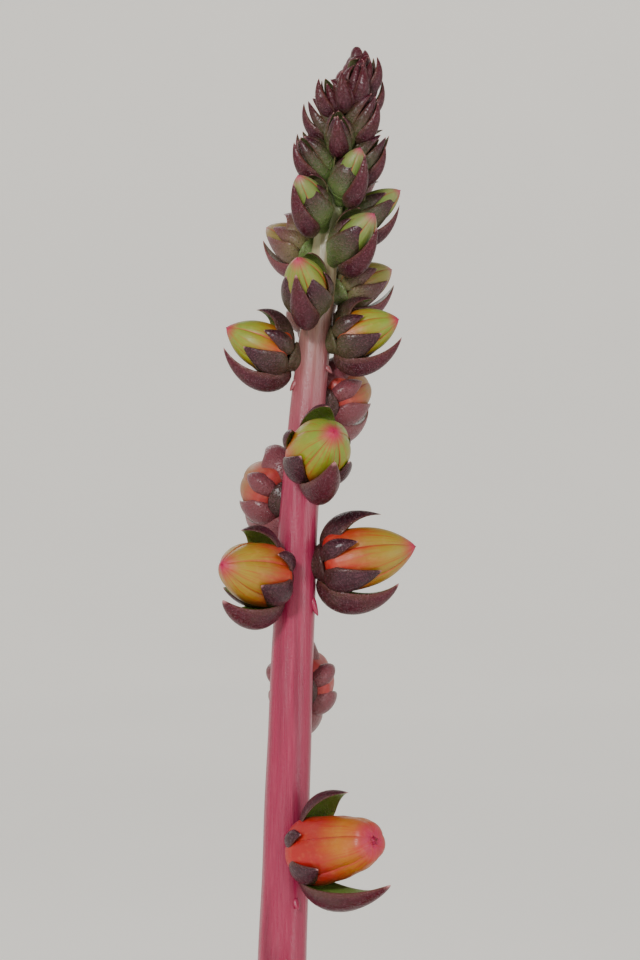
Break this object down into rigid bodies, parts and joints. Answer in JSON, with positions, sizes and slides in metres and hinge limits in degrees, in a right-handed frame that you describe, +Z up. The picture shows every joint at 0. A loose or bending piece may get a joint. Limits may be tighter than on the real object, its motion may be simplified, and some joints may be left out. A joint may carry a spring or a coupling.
{
  "type": "potted echeveria pinetorum in flower",
  "caption": "Small rosette succulent in a plain round clay pot, with one tall leafy flower stem carrying five-petalled blooms below a head of unopened buds.",
  "frame": {"origin": "centre of the pot's underside", "axes": "+Z up along the pot's axis and the flower stem, +X to the right and -Y to the front as the flower spike is seen"},
  "size_m": [0.11, 0.11, 0.3111],
  "materials": {
    "clay": "matte, unglazed",
    "soil": "matte, gritty",
    "leaf": "satin with a waxy bloom",
    "stem": "satin",
    "sepal": "satin, finely speckled",
    "petal": "satin",
    "young_petal": "satin",
    "bud": "satin, finely speckled"
  },
  "bodies": {
    "root": {"pot": "clay", "soil": "soil", "rosette": "leaf", "flower_stem": "stem", "bloom_01_calyx": "sepal", "bloom_01_petals": "petal", "bloom_02_calyx": "sepal", "bloom_02_petals": "petal", "bloom_03_calyx": "sepal", "bloom_03_petals": "petal", "bloom_04_calyx": "sepal", "bloom_04_petals": "petal", "bloom_05_calyx": "sepal", "bloom_05_petals": "petal", "bloom_06_calyx": "sepal", "bloom_06_petals": "petal", "bloom_07_calyx": "sepal", "bloom_07_petals": "petal", "bloom_08_calyx": "sepal", "bloom_08_petals": "petal", "bloom_09_calyx": "sepal", "bloom_09_petals": "petal", "bloom_10_calyx": "sepal", "bloom_10_petals": "petal", "bloom_11_calyx": "sepal", "bloom_11_petals": "petal", "bloom_12_calyx": "sepal", "bloom_12_petals": "petal", "bloom_13_calyx": "sepal", "bloom_13_petals": "petal", "bloom_14_calyx": "sepal", "bloom_14_petals": "petal", "bloom_15_calyx": "sepal", "bloom_15_petals": "petal", "bud_01_calyx": "sepal", "bud_01_petals": "young_petal", "bud_02_calyx": "sepal", "bud_02_petals": "young_petal", "bud_03_calyx": "sepal", "bud_03_petals": "young_petal", "bud_04_calyx": "sepal", "bud_04_petals": "young_petal", "bud_05_calyx": "sepal", "bud_05_petals": "young_petal", "bud_head": "bud"}
  },
  "joints": []
}
